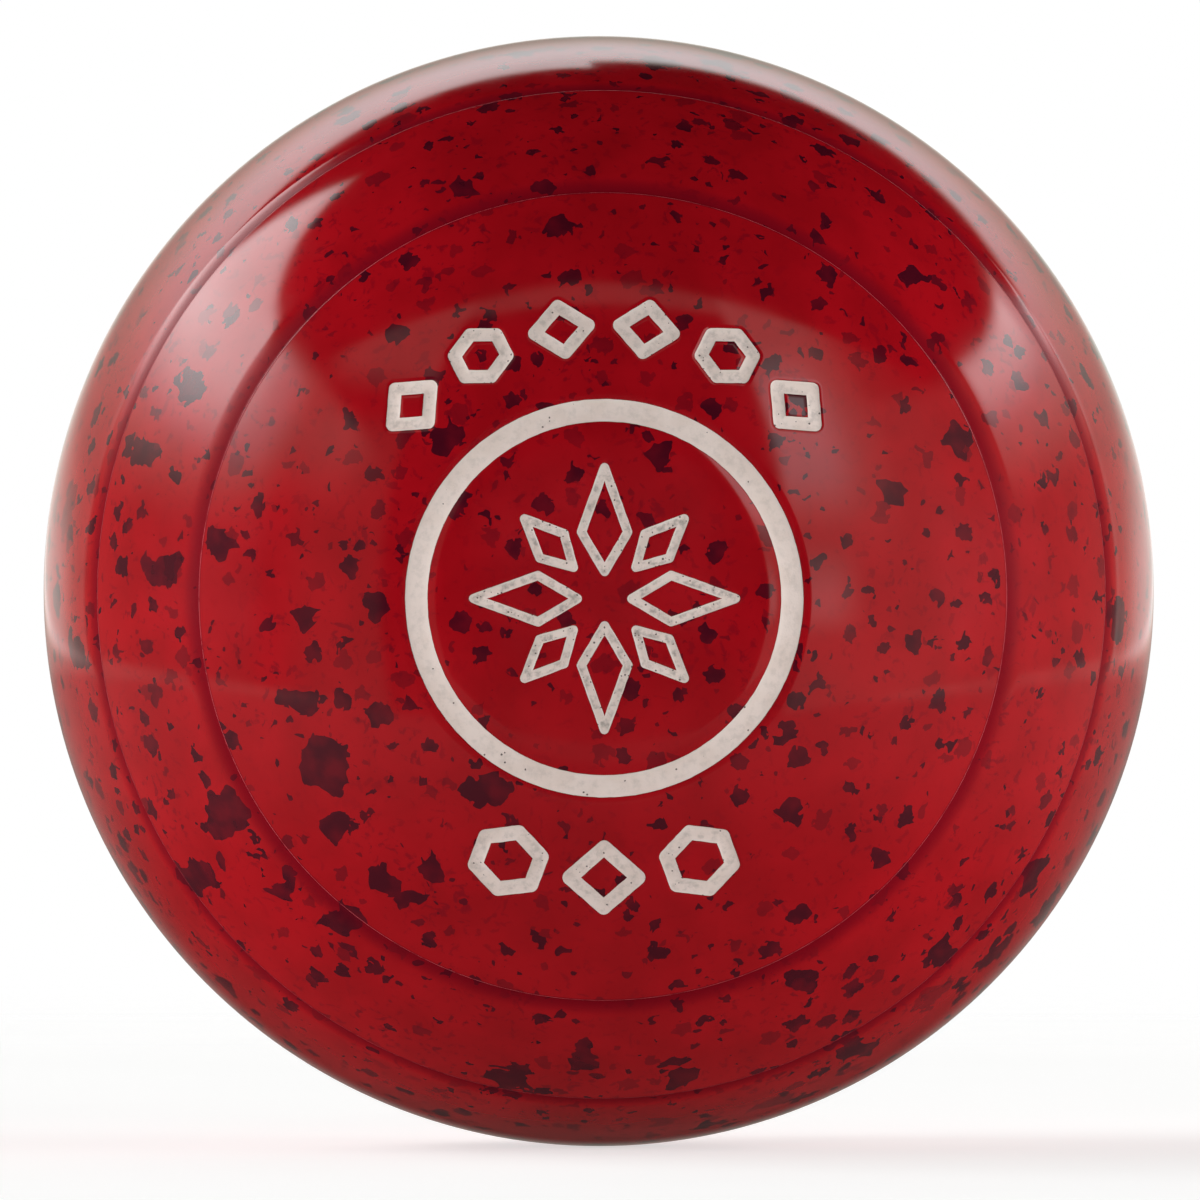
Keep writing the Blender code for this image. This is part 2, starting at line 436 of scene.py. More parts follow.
def add_side(builder, face, middle_row, running_row):
    """Adds the turned surface from the marked middle to the running line. Returns the running line's row."""
    along, radius, height = face.side_curve()
    side_start = np.searchsorted(radius, MIDDLE_RADIUS)
    grooves = [np.interp((foot - GROOVE_WALL, foot, end), radius, along) for foot, end in GROOVES]
    stations = side_stations(along[side_start:], grooves)
    depth, depth_slope = sum(groove_depth(stations, *groove) for groove in grooves)
    radius = np.interp(stations, along, radius)
    height = np.interp(stations, along, height)
    across, out = face.side_normal(radius, height)
    rows = [middle_row]
    round_axis = spokes(SEGMENTS)
    for station, r, h, a, o, d, slope in zip(stations, radius, height, across, out, depth, depth_slope):
        points = np.column_stack((round_axis * (r - a * d), np.full(SEGMENTS, h - o * d)))
        normals = np.column_stack((round_axis * (a + slope * o), np.full(SEGMENTS, o - slope * a)))
        if len(rows) == len(stations) and running_row is not None:
            rows.append(running_row)
        else:
            # The groove's depth sets how matte it is and how much painted shade darkens it.
            matte = min(max(d, 0) / GROOVE_MATTE_DEPTH, 1)
            # A groove's lip is scuffed and carries a painted highlight.
            lip = max(1 - abs(station - start) / GROOVE_LIP for start, _, _ in grooves)
            unpolished = max(matte, 2 * lip)
            rows.append(builder.add_points(face.world(points), face.world(normals), unpolished))
    for inner, outer in zip(rows, rows[1:]):
        builder.add_strip(outer, inner)
    return rows[-1]


def make_body(faces, material):
    builder = Builder("unpolished")
    running_row = None
    for face in faces:
        middle = MIDDLE_RADIUS * spokes(SEGMENTS)
        middle_row = builder.add_points(*face.lifted(middle))
        loops = [(middle_row, middle)]
        for line in face_lines(face).values():
            loops += add_pocket(builder, face, line)
        add_open_surface(builder, face, loops)
        running_row = add_side(builder, face, middle_row, running_row)
        # The other face's X runs the other way.
        running_row = running_row[(SEGMENTS // 2 - np.arange(SEGMENTS)) % SEGMENTS]
    body = builder.make("resin_body", material)
    normals = np.concatenate(builder.normals)
    normals /= np.linalg.norm(normals, axis=1)[:, None]
    body.data.normals_split_custom_set_from_vertices(normals.tolist())
    return body


def make_filling(face, node, line, material):
    """One line's paint: a closed ribbon with a sunken, slightly lumpy top."""
    builder = Builder("middle")
    drops = [shoulder["drop"] for shoulder in line.shoulders]
    edges = [line.row(side, line.uneven(side) - PAINT_GAP) for side in (0, 1)]
    rows = []
    for step in range(PAINT_ROWS + 1):
        share = step / PAINT_ROWS
        flat = edges[0] * (1 - share) + edges[1] * share
        middle = 1 - abs(2 * share - 1) ** 3
        lumps = sum(
            size * np.array([noise.noise((x / length, y / length, 0.5)) for x, y in flat])
            for length, size in PAINT_LUMPS
        )
        sunk = PAINT_EDGE_DEPTH + (PAINT_MIDDLE_DEPTH - PAINT_EDGE_DEPTH) * middle
        lift = lumps - sunk - drops[0] * (1 - share) - drops[1] * share
        rows.append(builder.add_row(*face.lifted(flat, lift), middle))
    for side in (1, 0):
        rows.append(builder.add_row(*face.lifted(edges[side], -drops[side] - PAINT_BOTTOM)))
    for row, following in zip(rows, rows[1:] + rows[:1]):
        builder.add_strip(row, following)
    filling = builder.make(node.replace("paint", "filling"), material)
    filling.data.set_sharp_from_angle(angle=PAINT_SHARP_ANGLE)
    return filling


class Nodes:
    """Short ways to add nodes to one shader tree. A value is a constant or another node's output."""

    def __init__(self, tree):
        self.tree = tree

    def join(self, socket, value):
        if isinstance(value, bpy.types.NodeSocket):
            self.tree.links.new(value, socket)
        else:
            socket.default_value = value

    def add(self, kind, values, **settings):
        """Adds a node with its settings, and its inputs by name or number."""
        node = self.tree.nodes.new("ShaderNode" + kind)
        for name, value in settings.items():
            setattr(node, name, value)
        for socket, value in values.items():
            self.join(node.inputs[socket], value)
        return node

    def math(self, operation, *values, clamp=False):
        return self.add("Math", dict(enumerate(values)), operation=operation, use_clamp=clamp).outputs[0]

    def product(self, *values):
        total = values[0]
        for value in values[1:]:
            total = self.math("MULTIPLY", total, value)
        return total

    def vector(self, operation, *values):
        node = self.add("VectorMath", dict(enumerate(values)), operation=operation)
        return node.outputs[1 if operation == "LENGTH" else 0]

    def split(self, vector):
        return self.add("SeparateXYZ", {0: vector}).outputs[:3]

    def combine(self, *values):
        return self.add("CombineXYZ", dict(enumerate(values))).outputs[0]

    def step(self, value, start, end, first=0.0, last=1.0):
        """Runs smoothly from first to last as the value runs from start to end."""
        values = {0: value, 1: start, 2: end, 3: first, 4: last}
        return self.add("MapRange", values, interpolation_type="SMOOTHSTEP").outputs[0]

    def between(self, value, low, high, soft):
        """1 where the value is between low and high, with soft edges."""
        over = self.step(value, low - soft, low + soft)
        under = self.step(value, high - soft, high + soft, 1, 0)
        return self.product(over, under)

    def blend(self, share, first, second):
        return self.add("Mix", {0: share, 6: first, 7: second}, data_type="RGBA").outputs[2]

    def noise(self, place, size, detail=2.0, roughness=0.5):
        """Noise whose largest lumps are about that size, as (value, colour)."""
        values = {"Vector": place, "Scale": 1 / size, "Detail": detail, "Roughness": roughness}
        return self.add("TexNoise", values).outputs[:2]

    def patches(self, place, size, detail, start, end, roughness=0.5, first=0.0, last=1.0):
        """Patches of noise, from first where the noise is below start to last where it is above end."""
        return self.step(self.noise(place, size, detail, roughness)[0], start, end, first, last)

    def cells(self, place, size):
        """Cells of about that size, as (distance to the cell's point, random value, place of the point)."""
        node = self.add("TexVoronoi", {"Vector": place, "Scale": 1 / size})
        distance = self.math("MULTIPLY", node.outputs["Distance"], size)
        return distance, self.split(node.outputs["Color"])[0], node.outputs["Position"]


def new_material(name):
    material = bpy.data.materials.new(name)
    material.use_nodes = True
    return material, Nodes(material.node_tree), material.node_tree.nodes["Principled BSDF"]


def object_place(nodes):
    """The place in the object, in millimetres."""
    place = nodes.add("TexCoord", {}).outputs["Object"]
    return nodes.vector("MULTIPLY", place, (1 / MM,) * 3)


def strayed(nodes, place, size, reach):
    """Places moved about by noise, so that straight edges turn ragged."""
    colour = nodes.noise(place, size, detail=1.0)[1]
    return nodes.vector("MULTIPLY_ADD", colour, (reach,) * 3, nodes.vector("ADD", place, (-reach / 2,) * 3))


# The colours of the resin and of the flecks in it.
RESIN_LIGHT = (0.33, 0.0035, 0.008, 1)
RESIN_DARK = (0.27, 0.0028, 0.0065, 1)
FLECK_DARK = (0.050, 0.0025, 0.008, 1)
FLECK_LIGHT = (0.105, 0.003, 0.009, 1)
FLECK_DEEP = (0.17, 0.002, 0.008, 1)
# Cut resin is darker: painted shade in the grooves and on the pockets' walls.
RESIN_CUT_SHADE = (0.145, 0.002, 0.008, 1)
# The scuffed lips are lighter: real scuffing, and a painted highlight where the lip catches the light.
RESIN_SCUFF_AND_GLINT = (0.60, 0.10, 0.12, 1)

# The large flecks of the front face, in millimetres, as (right, up, half width, half height). They reach
# back to this place along the bowl's axis, and behind it the large flecks are scattered at random.
LARGE_FLECKS_REACH = -24
LARGE_FLECKS = (
    (-27.5, -16.7, 2.7, 2.9), (-21.7, -28.0, 1.7, 1.2), (-19.3, -29.9, 2.0, 1.0), (-17.0, -27.0, 1.2, 2.0),
    (-22.3, -11.7, 1.5, 1.6), (-19.1, -10.5, 1.0, 0.8), (-30.5, -10.5, 1.6, 1.5), (-37.7, -21.9, 2.0, 2.6),
    (-40.0, -28.0, 2.3, 1.9), (-26.2, -32.2, 2.0, 1.5), (-11.7, -18.9, 2.7, 1.6), (-32.2, -28.9, 1.3, 1.3),
    (-9.2, -48.5, 2.2, 1.3), (-26.7, -22.5, 1.6, 1.6), (-2.1, -45.8, 1.2, 1.4), (-29.7, -2.0, 1.3, 1.4),
    (-22.5, -1.1, 1.3, 1.1), (7.7, -48.0, 1.6, 1.3), (20.1, -38.5, 1.6, 1.4), (24.7, -45.6, 2.3, 0.9),
    (18.0, -13.8, 1.2, 1.0), (18.4, -21.0, 1.6, 0.9), (34.3, -35.6, 1.4, 1.7), (27.7, -25.6, 0.8, 1.4),
    (-14.0, 40.8, 1.4, 0.9), (-4.7, 37.0, 1.5, 1.1), (-15.9, 16.0, 1.4, 1.6), (-46.0, 14.1, 1.6, 1.6),
    (-38.1, 5.4, 1.4, 1.6), (-44.0, 2.7, 2.0, 1.8), (-41.3, 21.2, 1.4, 1.6), (-20.8, 26.0, 1.3, 0.9),
    (5.3, 14.5, 1.3, 1.5), (35.1, 15.4, 1.0, 1.6), (28.6, 10.8, 1.1, 1.4), (31.3, 31.9, 1.3, 0.9),
)
# No place counts as further than this from a large fleck, in its half widths.
FAR_FROM_FLECKS = 9.0

# The scattered flecks, in millimetres: the spacing of the places where one may lie, the share of those that
# hold one, and the smallest and largest radius.
LARGE_SCATTER = {"spacing": 6.5, "share": 0.6, "smallest": 0.5, "largest": 2.9}
MEDIUM_SCATTER = {"spacing": 2.8, "share": 0.9, "smallest": 0.25, "largest": 1.2}
SMALL_SCATTER = {"spacing": 1.35, "share": 0.35, "smallest": 0.1, "largest": 0.42}
# The shuffle turns a fleck's random value into its place in the resin, from -1, deepest, to 1. Deep flecks
# show less, and a shallow one shows fully.
DEPTH_SHUFFLE = 400
SHALLOW_FLECK = 0.2
DEEPEST_SHOWS = 0.45

# How the flecks' outlines turn ragged, as (size of the waves, how far they stray) in millimetres, and how
# they break into straight pieces, as (size of the pieces in millimetres, how straight from 0 to 1).
LARGE_RAGGED = (3.4, 3.0)
LARGE_FINE_RAGGED = (1.2, 0.7)
LARGE_CHIPPED = (1.3, 0.6)
SMALL_RAGGED = (1.5, 1.7)
SMALL_CHIPPED = (0.6, 0.65)

# The patterns in the resin, with sizes in millimetres.
RESIN_CLOUDS = {"size": 7, "detail": 3.0, "start": 0.3, "end": 0.7}
FLECK_CLOUDS = {"size": 2.6, "detail": 2.0, "start": 0.35, "end": 0.75}
DEEP_FLECKS = {"size": 1.1, "detail": 3.0, "roughness": 0.6, "start": 0.55, "end": 0.66}
DEEP_FLECK_CROWDS = {"size": 11, "detail": 1.0, "start": 0.35, "end": 0.7, "first": 0.15, "last": 0.75}
POLISH_WEAR = {"size": 4, "detail": 4.0, "start": 0.3, "end": 0.8, "first": 0.075, "last": 0.115}
# Patches of scuffing along the grooves' lips, which also carry their painted highlight.
LIP_SCUFFS_AND_GLINT = {"size": 0.9, "detail": 4.0, "start": 0.3, "end": 0.6, "first": 0.3}

# How far the colour of cut resin, darkened as painted shade, spreads over what it cuts, and what cutting and
# scuffing do to the gloss.
CUT_SHADE_ON_FLECK = 0.2
CUT_SHADE_ON_RESIN = 0.8
CUT_ROUGHNESS = 0.1
SCUFF_ROUGHNESS = 0.2
RESIN_SPECULAR = 0.5
CUT_SPECULAR_LOSS = 0.4
RESIN_IOR = 1.57

# The waves left by polishing and the grain left by the tool, in millimetres.
WAVE_SIZE = 5
WAVE_HEIGHT = 0.006
TOOL_GRAIN_SIZE = 0.12
TOOL_GRAIN_HEIGHT = 0.006


def hand_placed(nodes, place):
    """Below 1 inside a large fleck of the front face."""
    x, y, z = nodes.split(place)
    ahead = nodes.combine(x, nodes.math("MAXIMUM", y, 0), z)
    nearest = FAR_FROM_FLECKS
    for right, up, half_width, half_height in LARGE_FLECKS:
        scale = (1 / half_width, 1, 1 / half_height)
        offset = nodes.vector("MULTIPLY_ADD", ahead, scale, (-right / half_width, 0, -up / half_height))
        nearest = nodes.math("MINIMUM", nodes.vector("LENGTH", offset), nearest)
    return nearest


def scattered(nodes, place, spacing, share, smallest, largest):
    """A loose scatter of flecks: how much of a fleck shows at each place, from 0 to 1."""
    distance, chance, _ = nodes.cells(place, spacing)
    sizes = {0: chance, 1: 1 - share, 2: 1, 3: smallest, 4: largest}
    near = nodes.math("LESS_THAN", distance, nodes.add("MapRange", sizes).outputs[0])
    depth = nodes.math("SINE", nodes.math("MULTIPLY", chance, DEPTH_SHUFFLE))
    shown = nodes.step(depth, -1, SHALLOW_FLECK, DEEPEST_SHOWS, 1)
    shown = nodes.product(nodes.math("GREATER_THAN", chance, 1 - share), shown)
    return nodes.product(near, shown)


def chipped(nodes, place, cell, share):
    """Places drawn part of the way to the points of cells, so that a round outline breaks into pieces."""
    point = nodes.cells(place, cell)[2]
    offset = nodes.vector("SUBTRACT", point, place)
    return nodes.vector("MULTIPLY_ADD", offset, (share,) * 3, place)


def make_resin():
    """Glossy red resin with angular dark flecks of many sizes, matte where a tool has cut it.

    The attribute "unpolished" is 0 on polished resin and 1 in a cut, darkened there as painted shade, and
    runs on to 2 at a scuffed lip, lightened there by scuffing and a painted highlight.
    """
    material, nodes, shader = new_material("flecked_resin")
    place = object_place(nodes)
    bent = strayed(nodes, strayed(nodes, place, *LARGE_RAGGED), *LARGE_FINE_RAGGED)

    chip_place = chipped(nodes, bent, *LARGE_CHIPPED)
    placed = nodes.math("LESS_THAN", hand_placed(nodes, chip_place), 1)
    behind = nodes.math("GREATER_THAN", nodes.split(place)[1], LARGE_FLECKS_REACH)
    large = nodes.product(scattered(nodes, chip_place, **LARGE_SCATTER), behind)
    chips = nodes.math("MAXIMUM", placed, large)

    small_place = chipped(nodes, strayed(nodes, place, *SMALL_RAGGED), *SMALL_CHIPPED)
    medium = scattered(nodes, small_place, **MEDIUM_SCATTER)
    small = scattered(nodes, small_place, **SMALL_SCATTER)
    flecks = nodes.math("MAXIMUM", nodes.math("MAXIMUM", chips, medium), small)

    resin = nodes.blend(nodes.patches(place, **RESIN_CLOUDS), RESIN_DARK, RESIN_LIGHT)
    deep = nodes.product(nodes.patches(bent, **DEEP_FLECKS), nodes.patches(place, **DEEP_FLECK_CROWDS))
    resin = nodes.blend(deep, resin, FLECK_DEEP)
    fleck = nodes.blend(nodes.patches(place, **FLECK_CLOUDS), FLECK_DARK, FLECK_LIGHT)
    colour = nodes.blend(flecks, resin, fleck)

    unpolished = nodes.add("Attribute", {}, attribute_name="unpolished").outputs["Fac"]
    cut = nodes.step(unpolished, 0, 1)
    # Scuffing at the lips, lightened by a painted highlight as well.
    scuffs_and_glint = nodes.product(nodes.step(unpolished, 1, 2), nodes.patches(place, **LIP_SCUFFS_AND_GLINT))
    # Painted shade: the cuts' colour is darkened, less over the flecks than over the resin.
    cut_shade = nodes.product(cut, nodes.step(flecks, 1, 0, CUT_SHADE_ON_FLECK, CUT_SHADE_ON_RESIN))
    colour = nodes.blend(cut_shade, colour, RESIN_CUT_SHADE)
    nodes.join(shader.inputs["Base Color"], nodes.blend(scuffs_and_glint, colour, RESIN_SCUFF_AND_GLINT))
    worn = nodes.patches(place, **POLISH_WEAR)
    scuffed = nodes.math("MULTIPLY_ADD", scuffs_and_glint, SCUFF_ROUGHNESS, worn)
    nodes.join(shader.inputs["Roughness"], nodes.math("MULTIPLY_ADD", cut, CUT_ROUGHNESS, scuffed))
    specular = nodes.math("MULTIPLY_ADD", cut, -CUT_SPECULAR_LOSS, RESIN_SPECULAR)
    nodes.join(shader.inputs["Specular IOR Level"], specular)
    shader.inputs["IOR"].default_value = RESIN_IOR

    waves = nodes.math("MULTIPLY", nodes.noise(place, WAVE_SIZE, detail=1.0)[0], WAVE_HEIGHT)
    grain = nodes.product(nodes.noise(place, TOOL_GRAIN_SIZE)[0], unpolished, TOOL_GRAIN_HEIGHT)
    bump = nodes.add("Bump", {"Height": nodes.math("ADD", waves, grain), "Distance": MM})
    nodes.join(shader.inputs["Normal"], bump.outputs[0])
    return material


PAINT_CLEAN = (0.74, 0.635, 0.59, 1)
PAINT_WARM = (0.70, 0.59, 0.54, 1)
PAINT_GRIME = (0.30, 0.27, 0.25, 1)
PAINT_SPECK = (0.12, 0.09, 0.085, 1)

# The patterns in the paint, with sizes in millimetres. The attribute "middle" runs from 0 at a line's edges
# to 1 in its middle, and smudges begin where it passes this value.
PAINT_BLOTCHES = {"size": 2.2, "detail": 3.0, "start": 0.35, "end": 0.65}
PAINT_SMUDGES = {"size": 0.8, "detail": 4.0, "roughness": 0.65, "start": 0.42, "end": 0.72}
SMUDGES_BEGIN = 0.3
SPECK_RAGGED = (0.25, 0.1)
SPECK_SPACING = 0.34
LARGEST_SPECK = 0.11
CLEAN_ROUGHNESS = 0.5
GRIMY_ROUGHNESS = 0.7
PAINT_GRAIN_SIZE = 0.16
PAINT_GRAIN_HEIGHT = 0.02


def make_paint(name, grime, specks):
    """Dull off-white paint with grime worked into the middle of its lines, and dark specks."""
    material, nodes, shader = new_material(name)
    place = object_place(nodes)
    middle = nodes.add("Attribute", {}, attribute_name="middle").outputs["Fac"]
    colour = nodes.blend(nodes.patches(place, **PAINT_BLOTCHES), PAINT_CLEAN, PAINT_WARM)
    smudge = nodes.product(nodes.patches(place, **PAINT_SMUDGES), nodes.step(middle, SMUDGES_BEGIN, 1))
    smudge = nodes.math("MULTIPLY", smudge, grime, clamp=True)
    colour = nodes.blend(smudge, colour, PAINT_GRIME)
    distance, chance, _ = nodes.cells(strayed(nodes, place, *SPECK_RAGGED), SPECK_SPACING)
    reach = nodes.step(chance, 1 - specks, 1, 0.0, LARGEST_SPECK)
    colour = nodes.blend(nodes.math("LESS_THAN", distance, reach), colour, PAINT_SPECK)
    nodes.join(shader.inputs["Base Color"], colour)
    nodes.join(shader.inputs["Roughness"], nodes.step(smudge, 0, 1, CLEAN_ROUGHNESS, GRIMY_ROUGHNESS))
    grain = nodes.math("MULTIPLY", nodes.noise(place, PAINT_GRAIN_SIZE, detail=3.0)[0], PAINT_GRAIN_HEIGHT)
    nodes.join(shader.inputs["Normal"], nodes.add("Bump", {"Height": grain, "Distance": MM}).outputs[0])
    return material


FLOOR_CLEAR_RADIUS = 0.25
FLOOR_RADIUS = 0.6
FLOOR_SEGMENTS = 96
FLOOR_GLOW = 0.62
FLOOR_SEEN = (0.60, 0.60, 0.60, 1)
FLOOR_SEEN_DIM = (0.58, 0.58, 0.58, 1)
FLOOR_BOUNCE = (0.55, 0.53, 0.52, 1)
# Faint clouds in the floor's colour. Their size is in metres, as the floor's places are.
FLOOR_CLOUDS = {"size": 0.05, "detail": 2.0, "start": 0.3, "end": 0.7}


def make_floor():
    """A pale round floor that fades into the white surroundings, with a glow that softens shadows."""
    material, nodes, shader = new_material("floor")
    nodes.tree.nodes.remove(shader)
    place = nodes.add("TexCoord", {}).outputs["Object"]
    cloud = nodes.patches(place, **FLOOR_CLOUDS)
    seen = nodes.add("LightPath", {}).outputs["Is Camera Ray"]
    colour = nodes.blend(seen, FLOOR_BOUNCE, nodes.blend(cloud, FLOOR_SEEN, FLOOR_SEEN_DIM))
    lit = nodes.add("BsdfDiffuse", {"Color": colour}).outputs[0]
    glow = nodes.add("Emission", {"Strength": nodes.math("MULTIPLY", seen, FLOOR_GLOW)}).outputs[0]
    surface = nodes.add("AddShader", {0: lit, 1: glow}).outputs[0]
    clear = nodes.add("BsdfTransparent", {}).outputs[0]
    fading = nodes.step(nodes.vector("LENGTH", place), FLOOR_CLEAR_RADIUS, FLOOR_RADIUS)
    faded = nodes.add("MixShader", {0: fading, 1: surface, 2: clear}).outputs[0]
    nodes.join(nodes.tree.nodes["Material Output"].inputs["Surface"], faded)
    mesh = bpy.data.meshes.new("floor")
    points = [(FLOOR_RADIUS * x, FLOOR_RADIUS * y, 0) for x, y in spokes(FLOOR_SEGMENTS)]
    mesh.from_pydata(points, [], [range(FLOOR_SEGMENTS)])
    mesh.materials.append(material)
    floor = bpy.data.objects.new("floor", mesh)
    floor.location.z = -RUNNING_RADIUS
    floor.visible_glossy = False
    floor.visible_shadow = False
    bpy.context.scene.collection.objects.link(floor)


# The light tent, in degrees of azimuth (0 in front, rising to the right) and elevation. Each glow is (first
# azimuth, softness), (last azimuth, softness), (lowest elevation, softness), (highest elevation, softness,
# tilt, bend) and brightness. The top edge follows the tilt and the bend away from the middle azimuth. A glow
# with no lowest elevation reaches down to the seam between wall and ground, and one with no highest reaches
# up to the arch.
SEAM = None
ARCH = None
GLOWS = (
    # The side walls, with a lamp behind the cloth of each.
    ((-133, 2.5), (-84, 7), (25, 7), (44, 1.2, -0.28, 0), 2.7),
    ((-134, 1.5), (-72, 8), (18, 11), (42, 2, -0.22, 0), 1.3),
    ((-134, 1.5), (-47, 8), (20, 9), (39.5, 2, -0.03, -0.0067), 0.5),
    ((-134, 1.5), (-70, 14), SEAM, (39.5, 2, 0, -0.0067), 0.15),
    ((-62, 8), (-40, 1.5), SEAM, (29, 4, 0, 0), 0.16),
    ((94, 3), (128, 4), (25, 4), (31, 1.2, -0.05, 0), 2.0),
    ((90, 3), (135, 1.5), (18, 8), (31, 1.2, -0.05, 0), 1.1),
    ((60, 14), (135, 1.5), SEAM, (31, 2, 0, 0.0005), 0.22),
    # The edges of the opening in front.
    ((34, 1.5), (49, 6), (16, 7), (39, 7, 0, 0), 0.95),
    ((34, 1.5), (64, 22), SEAM, ARCH, 0.34),
    ((34, 1.5), (58, 6), (14, 14), ARCH, 0.36),
    ((35, 2), (46, 5), (-5, 3), (5, 5, 0, 0), 0.7),
    ((-66, 7), (-37, 2), (37, 4), ARCH, 0.42),
    # The back wall, on the left and on the right of the middle.
    ((-182, 1.5), (-133, 1.5), SEAM, (37.5, 1.5, -0.15, 0), 0.42),
    ((-182, 1.5), (-133, 1.5), (21, 13), (37.5, 1.5, -0.15, 0), 1.45),
    ((-182, 1.5), (-144, 9), SEAM, (4, 4, 0, 0), 0.5),
    ((133, 1.5), (182, 1.5), SEAM, (30.5, 2.5, 0.27, 0), 0.45),
    ((133, 1.5), (182, 1.5), (21, 13), (30.5, 2.5, 0.27, 0), 1.45),
    ((144, 9), (182, 1.5), SEAM, (4, 4, 0, 0), 0.55),
)

# The arch over the opening. Its two edges are highest in front and drop with the square of the azimuth.
ARCH_TOP = 60.5
ARCH_DROP = 0.0045
OPENING_TOP = 55.5
OPENING_DROP = 0.0035
OPENING = (-38, 34)
OPENING_SOFTNESS = 2
ARCH_SOFTNESS = 1
ARCH_BRIGHTNESS = 0.35

# The seam is furthest, and so highest, behind the bowl. Its place at the side and at the back is (degrees
# away from the front, elevation). Its bright line fades in between two such turns away from the front.
SEAM_SIDE = (60, -17)
SEAM_BACK = (180, 0)
SEAM_SOFTNESS = 0.5
SEAM_LINE_REACH = 0.8
SEAM_LINE_BEGINS = (45, 70)
SEAM_BRIGHTNESS = 0.3

# The ground brightens from its near edge, given as the seam's is, up to its brightest elevation. It ends at
# the seam, between two heights over it. Right in front it has only a share of its brightness, and all of it
# from a turn away from the front. Everything under the horizon glimmers, fully from one elevation down.
GROUND_NEAR_SIDE = (60, -52)
GROUND_NEAR_BACK = (180, -20)
GROUND_BRIGHTEST = -3
GROUND_ENDS = (0.5, -1)
GROUND_FRONT_SHARE = 0.5
GROUND_FRONT_TURN = 70
GROUND_BRIGHTNESS = 0.28
GLIMMER_BOTTOM = -30
GLIMMER_BRIGHTNESS = 0.07

# The warm tints of the ground and of dim cloth. Between these two brightnesses the cloth turns white.
GROUND_TINT = (1, 0.94, 0.84, 1)
DIM_TINT = (1, 0.97, 0.84, 1)
DIM_CLOTH = 0.4
BRIGHT_CLOTH = 1.6
WHITE = (1, 1, 1, 1)


def make_surroundings():
    """A light tent round the bowl, open in front, which shows in the polish. The camera sees only white."""
    world = bpy.data.worlds.new("light tent")
    world.use_nodes = True
    bpy.context.scene.world = world
    nodes = Nodes(world.node_tree)
    x, y, z = nodes.split(nodes.add("TexCoord", {}).outputs["Generated"])
    azimuth = nodes.math("DEGREES", nodes.math("ARCTAN2", x, nodes.math("MULTIPLY", y, -1)))
    elevation = nodes.math("DEGREES", nodes.math("ARCSINE", z))
    turn = nodes.math("ABSOLUTE", azimuth)
    squared = nodes.math("MULTIPLY", azimuth, azimuth)

    climb = (SEAM_BACK[1] - SEAM_SIDE[1]) / (SEAM_BACK[0] - SEAM_SIDE[0])
    seam = nodes.math("MULTIPLY_ADD", turn, climb, SEAM_BACK[1] - climb * SEAM_BACK[0])
    over_seam = nodes.math("SUBTRACT", elevation, seam)
    on_wall = nodes.step(over_seam, -SEAM_SOFTNESS, SEAM_SOFTNESS)
    arch_top = nodes.math("MULTIPLY_ADD", squared, -ARCH_DROP, ARCH_TOP)
    under_arch = nodes.step(nodes.math("SUBTRACT", elevation, arch_top), ARCH_SOFTNESS, -ARCH_SOFTNESS)
    opening_top = nodes.math("MULTIPLY_ADD", squared, -OPENING_DROP, OPENING_TOP)
    over_opening = nodes.step(nodes.math("SUBTRACT", elevation, opening_top), -ARCH_SOFTNESS, ARCH_SOFTNESS)
    in_front = nodes.between(azimuth, *OPENING, OPENING_SOFTNESS)
    total = nodes.product(over_opening, under_arch, in_front, ARCH_BRIGHTNESS)

    for (first, first_soft), (last, last_soft), foot, head, brightness in GLOWS:
        glow = nodes.product(
            nodes.step(azimuth, first - first_soft, first + first_soft),
            nodes.step(azimuth, last + last_soft, last - last_soft),
            on_wall if foot is SEAM else nodes.step(elevation, foot[0] - foot[1], foot[0] + foot[1]),
            brightness,
        )
        if head is ARCH:
            glow = nodes.product(glow, under_arch)
        else:
            high, soft, tilt, bend = head
            aside = nodes.math("SUBTRACT", azimuth, (first + last) / 2)
            top = nodes.math("MULTIPLY_ADD", aside, nodes.math("MULTIPLY_ADD", aside, bend, tilt), high)
            glow = nodes.product(glow, nodes.step(nodes.math("SUBTRACT", elevation, top), soft, -soft))
        total = nodes.math("ADD", total, glow)

    line = nodes.between(over_seam, -SEAM_LINE_REACH, SEAM_LINE_REACH, SEAM_SOFTNESS)
    line = nodes.product(line, nodes.step(turn, *SEAM_LINE_BEGINS))
    total = nodes.math("MULTIPLY_ADD", line, SEAM_BRIGHTNESS, total)
    near_turns, near_edges = zip(GROUND_NEAR_SIDE, GROUND_NEAR_BACK)
    near_edge = nodes.step(turn, *near_turns, *near_edges)
    ground = nodes.product(
        nodes.step(over_seam, *GROUND_ENDS),
        nodes.step(elevation, near_edge, GROUND_BRIGHTEST),
        nodes.step(turn, 0, GROUND_FRONT_TURN, GROUND_FRONT_SHARE, 1),
    )
    total = nodes.math("MULTIPLY_ADD", ground, GROUND_BRIGHTNESS, total)
    total = nodes.math("MULTIPLY_ADD", nodes.step(elevation, 0, GLIMMER_BOTTOM), GLIMMER_BRIGHTNESS, total)

    seen = nodes.add("LightPath", {}).outputs["Is Camera Ray"]
    background = nodes.tree.nodes["Background"]
    cloth = nodes.blend(nodes.step(total, DIM_CLOTH, BRIGHT_CLOTH), DIM_TINT, WHITE)
    colour = nodes.blend(nodes.step(over_seam, 1, -1), cloth, GROUND_TINT)
    nodes.join(background.inputs["Color"], nodes.blend(seen, colour, WHITE))
    strength = nodes.add("Mix", {0: seen, 2: total, 3: 1.0}, data_type="FLOAT").outputs[0]
    nodes.join(background.inputs["Strength"], strength)


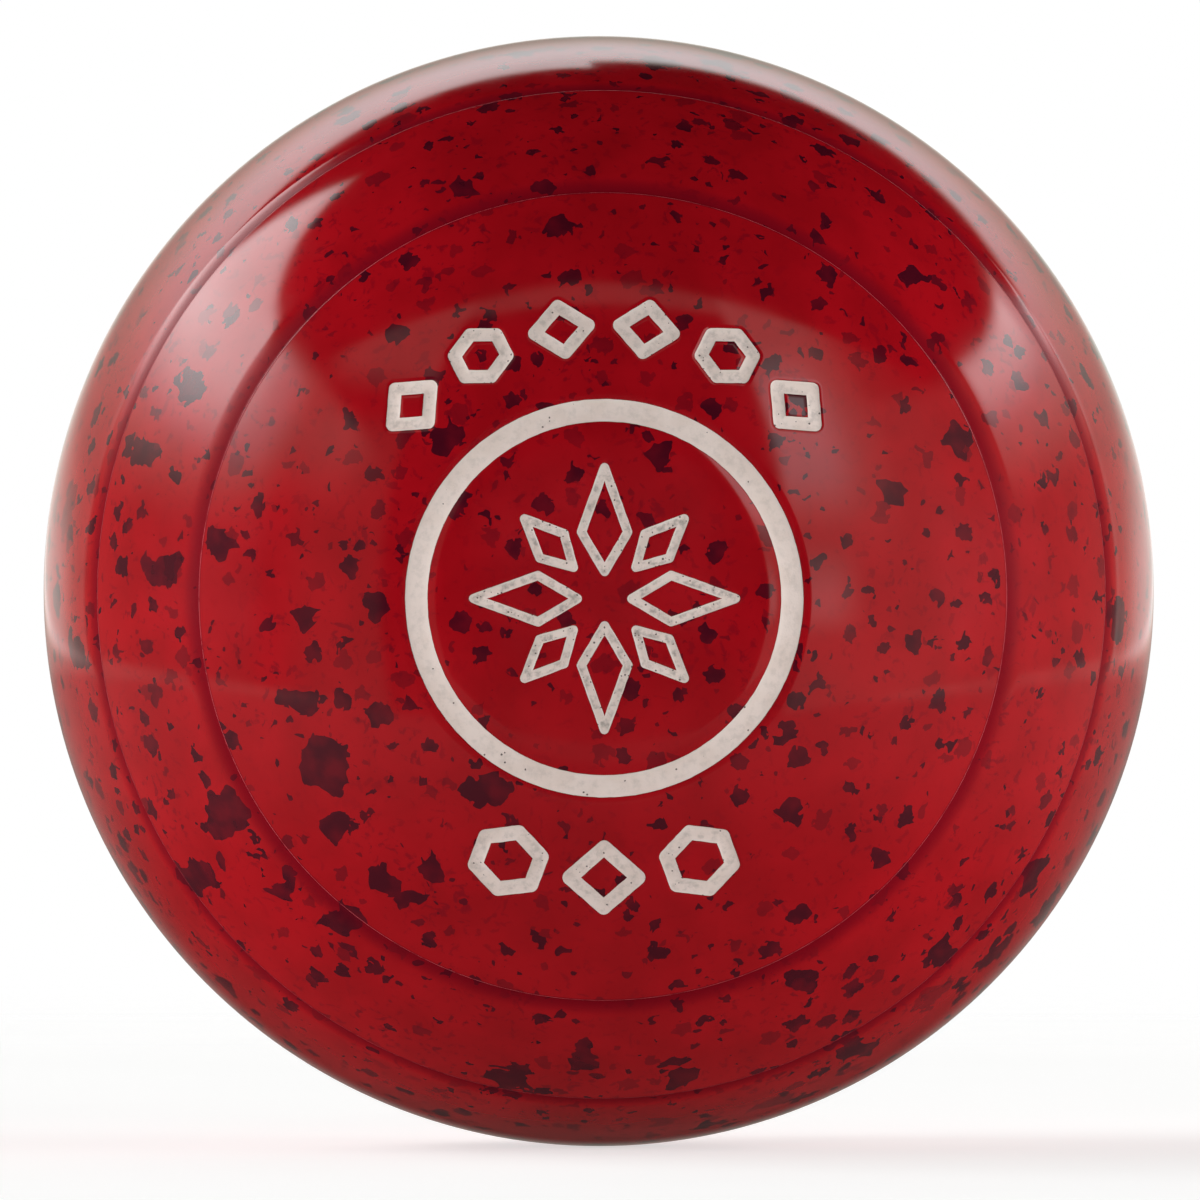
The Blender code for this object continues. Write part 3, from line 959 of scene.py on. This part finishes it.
# Soft lamps that light the bowl without showing in its polish: (place, side length, watts).
LAMPS = (
    ((0, -2.0, 0.1), 1.4, 18),
    ((0, -1.2, -1.5), 1.2, 4),
    ((-1.9, -0.2, -0.1), 1.2, 38),
    ((1.9, -0.2, -0.1), 1.2, 39),
    ((0, 2.0, -0.2), 1.4, 24),
)


def make_lamps():
    for place, size, power in LAMPS:
        lamp = bpy.data.lights.new("soft lamp", "AREA")
        lamp.size = size
        lamp.energy = power
        obj = bpy.data.objects.new("soft lamp", lamp)
        bpy.context.scene.collection.objects.link(obj)
        obj.location = place
        obj.rotation_euler = Vector(place).to_track_quat("Z", "Y").to_euler()
        obj.visible_camera = False
        obj.visible_glossy = False


CAMERA_DISTANCE = 3.0
CAMERA_LEFT = math.radians(0.65)
CAMERA_UP = math.radians(0.85)
FRAME_WIDTH = 121.08 * MM
AIM = Vector((0.13 * MM, 0, -0.9 * MM))
CAMERA_REACH = 20


def make_camera():
    camera = bpy.data.cameras.new("camera")
    camera.lens = camera.sensor_width * CAMERA_DISTANCE / FRAME_WIDTH
    camera.clip_end = CAMERA_REACH
    obj = bpy.data.objects.new("camera", camera)
    bpy.context.scene.collection.objects.link(obj)
    direction = Vector((-math.sin(CAMERA_LEFT), -1, math.sin(CAMERA_UP))).normalized()
    obj.location = AIM + direction * CAMERA_DISTANCE
    obj.rotation_euler = direction.to_track_quat("Z", "Y").to_euler()
    bpy.context.scene.camera = obj


def place_piece(piece, node):
    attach(piece, "root")
    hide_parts(node)


def main():
    faces = (
        Face("front", 1, FRONT_SQUARENESS, FRONT_POLE, FRONT_RING_RADIUS, FRONT_STAR_SCALE),
        Face("back", -1, BACK_SQUARENESS, BACK_POLE, BACK_RING_RADIUS, BACK_STAR_SCALE),
    )
    place_piece(make_body(faces, make_resin()), "bowl_body")
    paints = {
        "ring": make_paint("ring_paint", grime=0.25, specks=0.04),
        "ray": make_paint("star_paint", grime=0.9, specks=0.35),
        "mark": make_paint("mark_paint", grime=0.5, specks=0.15),
    }
    for face in faces:
        for node, line in face_lines(face).items():
            paint = next(paint for kind, paint in paints.items() if kind in node)
            place_piece(make_filling(face, node, line, paint), node)
    make_floor()
    make_surroundings()
    make_lamps()
    make_camera()
    bpy.context.scene.view_settings.view_transform = "Standard"


main()
